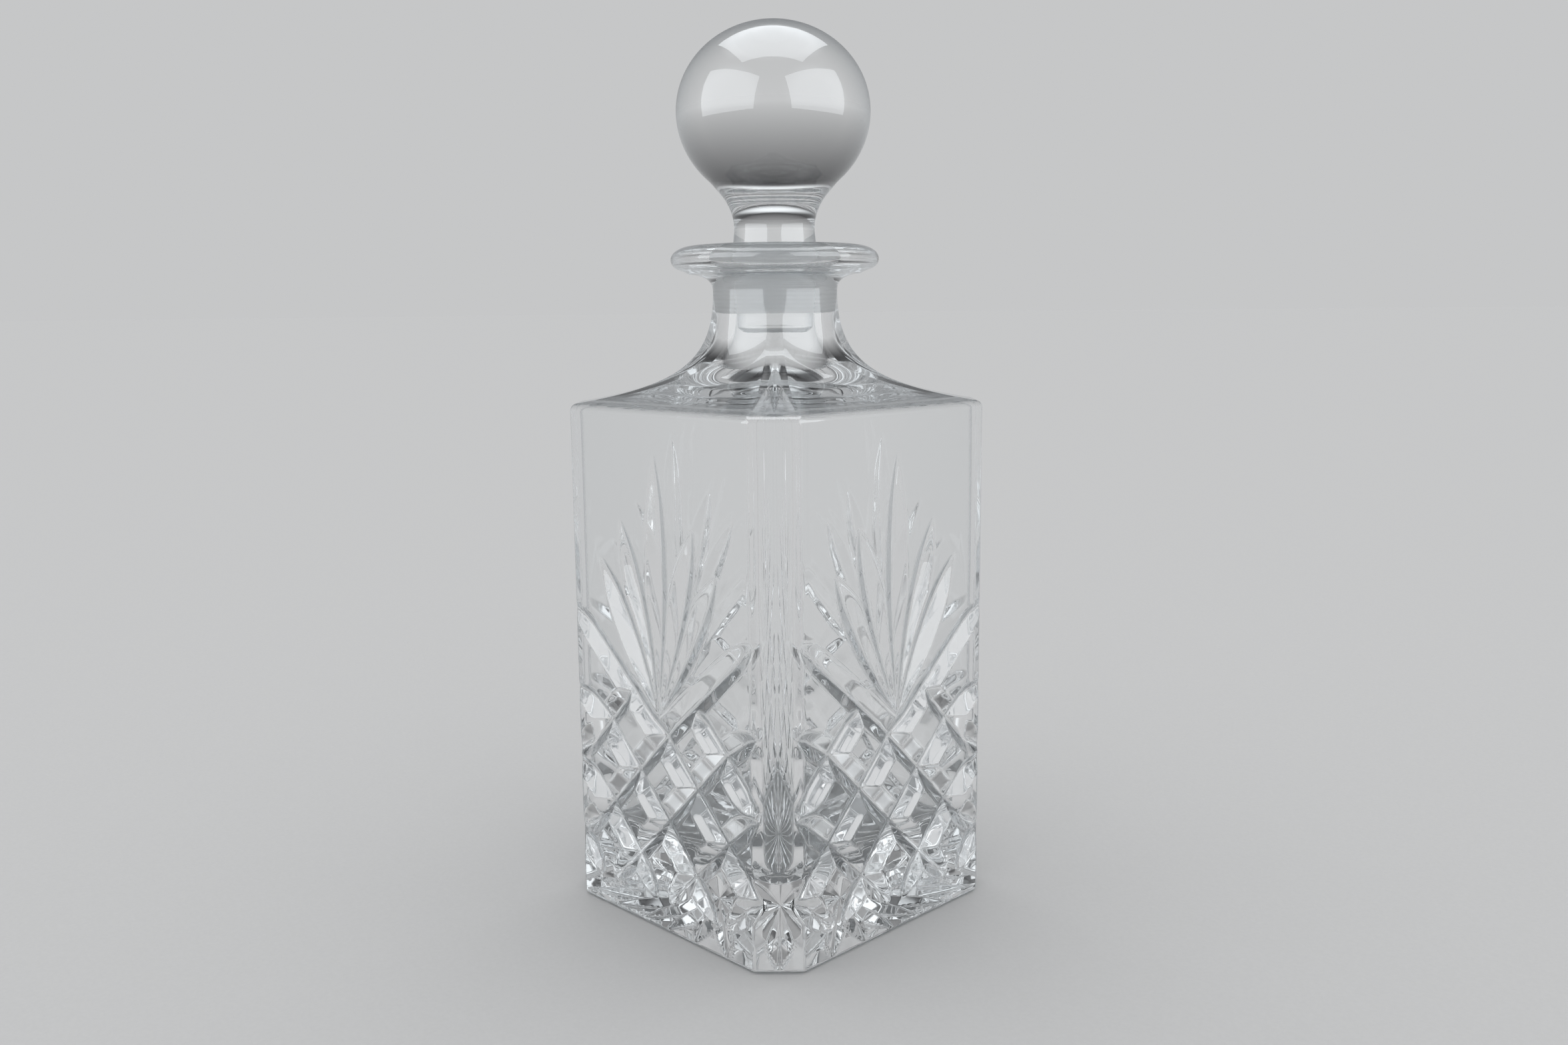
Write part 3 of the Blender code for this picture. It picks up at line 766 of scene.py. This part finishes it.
def stopper_profile():
    """(radius, height) from just under the ball's top down to the plug's end."""
    centre = STOPPER_TOP - BALL_UPPER
    collar = math.pi - math.asin(COLLAR_RADIUS / BALL_RADIUS)
    ball = [(BALL_RADIUS * math.sin(angle),
             centre + (BALL_UPPER if angle < math.pi / 2 else BALL_LOWER) * math.cos(angle))
            for angle in np.linspace(0, collar, BALL_STEPS)[1:]]
    flare = [(lerp(WAIST_RADIUS, ball[-1][0], out), lerp(LIP_TOP + WAIST_HEIGHT, ball[-1][1], up))
             for out, up in FLARE_SHARES]

    slope = (BORE_MOUTH - BORE_END) / (LIP_TOP - BORE_END_HEIGHT)
    low = LIP_TOP - PLUG_LENGTH

    def plug(height):
        return BORE_MOUTH - SEAT_GAP - slope * (LIP_TOP - height), height

    waist = eased(ball[-3:] + flare + [plug(LIP_TOP), plug(LIP_TOP - WAIST_TAIL)], *WAIST_EASE)
    points = ball[:-3] + [tuple(point) for point in waist]
    start = points[-1][1]
    points += [plug(lerp(start, low + PLUG_BEVEL, step / SEAT_STEPS)) for step in range(1, SEAT_STEPS + 1)]
    end_radius = plug(low)[0]
    corner = [(end_radius - PLUG_BEVEL, low), (end_radius - PLUG_END_INSET, low)]
    end = eased(points[-2:] + corner, *PLUG_EASE)
    points = points[:-2] + [tuple(point) for point in end]
    return points + [(share * end_radius, low) for share in PLUG_END_SHARES]


def stopper_mesh():
    """The stopper as a turned solid, with the ground band on its plug."""
    skin = Skin()
    angles = np.arange(STOPPER_AROUND) * 2 * math.pi / STOPPER_AROUND
    top, *profile = stopper_profile()
    current = add_ring(skin, angles, *top)
    skin.add_face(current)
    for level in profile:
        is_ground = GROUND_BAND[0] < level[1] < GROUND_BAND[1]
        current = add_levels(skin, angles, current, [level], slot=int(is_ground))
    skin.add_face(list(reversed(current)))
    return finished_mesh(skin, "crystal_stopper")


# Materials


def node(tree, kind, **inputs):
    """A new node with its inputs set; an underscore stands for a space in an input's name."""
    made = tree.nodes.new(kind)
    for name, value in inputs.items():
        made.inputs[name.replace("_", " ")].default_value = value
    return made


def feed(tree, source, target):
    """Links an output to the input, or sets a plain value or colour on it."""
    if isinstance(source, bpy.types.NodeSocket):
        tree.links.new(source, target)
    else:
        target.default_value = (*source, 1.0)


def blend(tree, share, first, second):
    """The colour that lies a share of the way from the first to the second."""
    mix = tree.nodes.new("ShaderNodeMix")
    mix.data_type = "RGBA"
    tree.links.new(share, mix.inputs["Factor"])
    feed(tree, first, mix.inputs["A"])
    feed(tree, second, mix.inputs["B"])
    return mix.outputs["Result"]


def textured(name):
    """A new material: itself, its tree, its shader and the coordinates of the object."""
    material = bpy.data.materials.new(name)
    material.use_nodes = True
    tree = material.node_tree
    place = tree.nodes.new("ShaderNodeTexCoord").outputs["Object"]
    return material, tree, tree.nodes["Principled BSDF"], place


def crystal(name):
    """Clear crystal with painted shade, its colour darkened where it is seen at a slant; faint moulding waves
    and a trace of handling.
    """
    material, tree, shader, place = textured(name)
    shader.inputs["Transmission Weight"].default_value = 1.0
    shader.inputs["IOR"].default_value = CRYSTAL_IOR
    # Painted shade: the base colour darkens as the surface turns away from the view, standing in for the dark
    # facets of cut glass
    slant = tree.nodes.new("ShaderNodeLayerWeight")
    slant_shade = node(tree, "ShaderNodeMapRange", From_Min=0.34, From_Max=0.95)
    tree.links.new(slant.outputs["Facing"], slant_shade.inputs["Value"])
    tint = blend(tree, slant_shade.outputs["Result"], CRYSTAL_CLEAR, CRYSTAL_SLANT_SHADE)
    tree.links.new(tint, shader.inputs["Base Color"])
    broad = node(tree, "ShaderNodeTexNoise", Scale=42.0, Detail=2.0, Roughness=0.5)
    fine = node(tree, "ShaderNodeTexNoise", Scale=420.0, Detail=3.0, Roughness=0.6)
    tree.links.new(place, broad.inputs["Vector"])
    tree.links.new(place, fine.inputs["Vector"])
    swell = node(tree, "ShaderNodeBump", Strength=0.35, Distance=0.0002)
    tree.links.new(broad.outputs["Fac"], swell.inputs["Height"])
    tree.links.new(swell.outputs["Normal"], shader.inputs["Normal"])
    spread = node(tree, "ShaderNodeMapRange", From_Min=0.45, From_Max=0.85, To_Min=0.0, To_Max=0.05)
    tree.links.new(fine.outputs["Fac"], spread.inputs["Value"])
    tree.links.new(spread.outputs["Result"], shader.inputs["Roughness"])
    return material


def ground_glass(name):
    """Ground seat: white, frosted, with the fine turned rings that grinding leaves."""
    material, tree, shader, place = textured(name)
    shader.inputs["Transmission Weight"].default_value = 0.5
    shader.inputs["IOR"].default_value = GROUND_IOR
    rings = node(tree, "ShaderNodeTexWave", Scale=260.0, Distortion=0.6, Detail=2.0, Detail_Scale=2.0)
    rings.bands_direction = "Z"
    grain = node(tree, "ShaderNodeTexNoise", Scale=1800.0, Detail=2.0, Roughness=0.6)
    tree.links.new(place, rings.inputs["Vector"])
    tree.links.new(place, grain.inputs["Vector"])
    turned = node(tree, "ShaderNodeBump", Strength=0.5, Distance=0.00008)
    tree.links.new(rings.outputs["Fac"], turned.inputs["Height"])
    pitted = node(tree, "ShaderNodeBump", Strength=0.4, Distance=0.00004)
    tree.links.new(grain.outputs["Fac"], pitted.inputs["Height"])
    tree.links.new(turned.outputs["Normal"], pitted.inputs["Normal"])
    tree.links.new(pitted.outputs["Normal"], shader.inputs["Normal"])
    spread = node(tree, "ShaderNodeMapRange", From_Min=0.2, From_Max=0.9, To_Min=0.42, To_Max=0.62)
    tree.links.new(rings.outputs["Fac"], spread.inputs["Value"])
    tree.links.new(spread.outputs["Result"], shader.inputs["Roughness"])
    tint = blend(tree, grain.outputs["Fac"], GROUND_GREY, WHITE)
    tree.links.new(tint, shader.inputs["Base Color"])
    return material


def floor_paper():
    """Matt studio paper with a fine grain and no shine."""
    material, tree, shader, place = textured("floor_paper")
    shader.inputs["Roughness"].default_value = 0.75
    shader.inputs["Specular IOR Level"].default_value = 0.0
    grain = node(tree, "ShaderNodeTexNoise", Scale=900.0, Detail=3.0)
    tree.links.new(place, grain.inputs["Vector"])
    tint = blend(tree, grain.outputs["Fac"], PAPER_DARK, PAPER_LIGHT)
    tree.links.new(tint, shader.inputs["Base Color"])
    return material


# Stage, light and camera


def floor():
    """A wide plain floor just under the decanter."""
    mesh = bpy.data.meshes.new("floor")
    signs = ((-1, -1), (1, -1), (1, 1), (-1, 1))
    mesh.from_pydata([(x * FLOOR_HALF, y * FLOOR_HALF, FLOOR_HEIGHT) for x, y in signs], [], [(0, 1, 2, 3)])
    made = bpy.data.objects.new("floor", mesh)
    bpy.context.scene.collection.objects.link(made)
    mesh.materials.append(floor_paper())


def softbox(name, direction, size):
    """A studio softbox that shows only in reflections; size is its width and height over its distance."""
    lamp = bpy.data.lights.new(name, "AREA")
    lamp.shape = "RECTANGLE"
    lamp.color = LAMP_COLOUR
    lamp.size, lamp.size_y = size[0] * LAMP_DISTANCE, size[1] * LAMP_DISTANCE
    lamp.energy = LAMP_BRIGHTNESS * math.pi * lamp.size * lamp.size_y
    made = bpy.data.objects.new(name, lamp)
    direction = direction.normalized()
    made.location = LAMP_AIM + direction * LAMP_DISTANCE
    made.rotation_euler = (-direction).to_track_quat("-Z", "Y").to_euler()
    made.visible_camera = False
    made.visible_diffuse = False
    made.visible_transmission = False
    bpy.context.scene.collection.objects.link(made)


def backdrop(tree):
    """What glass sees: pale near the horizon, dim overhead, with a soft glow toward each softbox."""
    place = tree.nodes.new("ShaderNodeTexCoord").outputs["Generated"]
    split = tree.nodes.new("ShaderNodeSeparateXYZ")
    tree.links.new(place, split.inputs[0])
    climb = node(tree, "ShaderNodeMapRange", From_Min=0.04, From_Max=0.70)
    tree.links.new(split.outputs["Z"], climb.inputs["Value"])
    rise = tree.nodes.new("ShaderNodeMath")
    rise.operation = "POWER"
    rise.inputs[1].default_value = 0.75
    tree.links.new(climb.outputs["Result"], rise.inputs[0])
    colour = blend(tree, rise.outputs[0], PALE, OVERHEAD_DIM)
    for direction, _, (glow_start, glow_full) in SOFTBOXES.values():
        toward = tree.nodes.new("ShaderNodeVectorMath")
        toward.operation = "DOT_PRODUCT"
        toward.inputs[1].default_value = direction.normalized()
        tree.links.new(place, toward.inputs[0])
        glow = node(tree, "ShaderNodeMapRange", From_Min=glow_start, From_Max=glow_full)
        glow.interpolation_type = "SMOOTHSTEP"
        tree.links.new(toward.outputs["Value"], glow.inputs["Value"])
        colour = blend(tree, glow.outputs["Result"], colour, GLOW)
    return colour


def world():
    """The camera sees plain pale, glass sees the backdrop, and the floor is lit by a plain white dome."""
    made = bpy.data.worlds.new("studio")
    made.use_nodes = True
    tree = made.node_tree
    path = tree.nodes.new("ShaderNodeLightPath")
    in_glass = tree.nodes.new("ShaderNodeMath")
    in_glass.operation = "MAXIMUM"
    tree.links.new(path.outputs["Is Glossy Ray"], in_glass.inputs[0])
    tree.links.new(path.outputs["Is Transmission Ray"], in_glass.inputs[1])
    lit = blend(tree, in_glass.outputs[0], WHITE, backdrop(tree))
    seen = blend(tree, path.outputs["Is Camera Ray"], lit, PALE)
    tree.links.new(seen, tree.nodes["Background"].inputs["Color"])
    bpy.context.scene.world = made


def camera():
    """The photograph's view: one corner toward the camera, a little from above."""
    data = bpy.data.cameras.new("camera")
    data.sensor_width = CAMERA_SENSOR
    data.lens = CAMERA_LENS
    made = bpy.data.objects.new("camera", data)
    made.location = CAMERA_PLACE
    made.rotation_euler = tuple(math.radians(angle) for angle in CAMERA_DEGREES)
    bpy.context.scene.collection.objects.link(made)
    bpy.context.scene.camera = made


body = body_mesh()
stopper = stopper_mesh()
ground = ground_glass("ground_glass")
body.data.materials.append(crystal("clear_crystal"))
body.data.materials.append(ground)
stopper.data.materials.append(crystal("stopper_crystal_clear"))
stopper.data.materials.append(ground)

for piece, body_name, node_name, slot_name in (
    (body, "bottle", "decanter_body", "body_crystal"),
    (stopper, "stopper", "ball_stopper", "stopper_crystal"),
):
    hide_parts(node_name)
    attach(piece, body_name)

floor()
world()
camera()
for box_name, (box_direction, box_size, _) in SOFTBOXES.items():
    softbox(box_name, box_direction, box_size)

scene = bpy.context.scene
scene.view_settings.view_transform = "Standard"
scene.cycles.max_bounces = BOUNCES
scene.cycles.transmission_bounces = BOUNCES
scene.cycles.glossy_bounces = BOUNCES
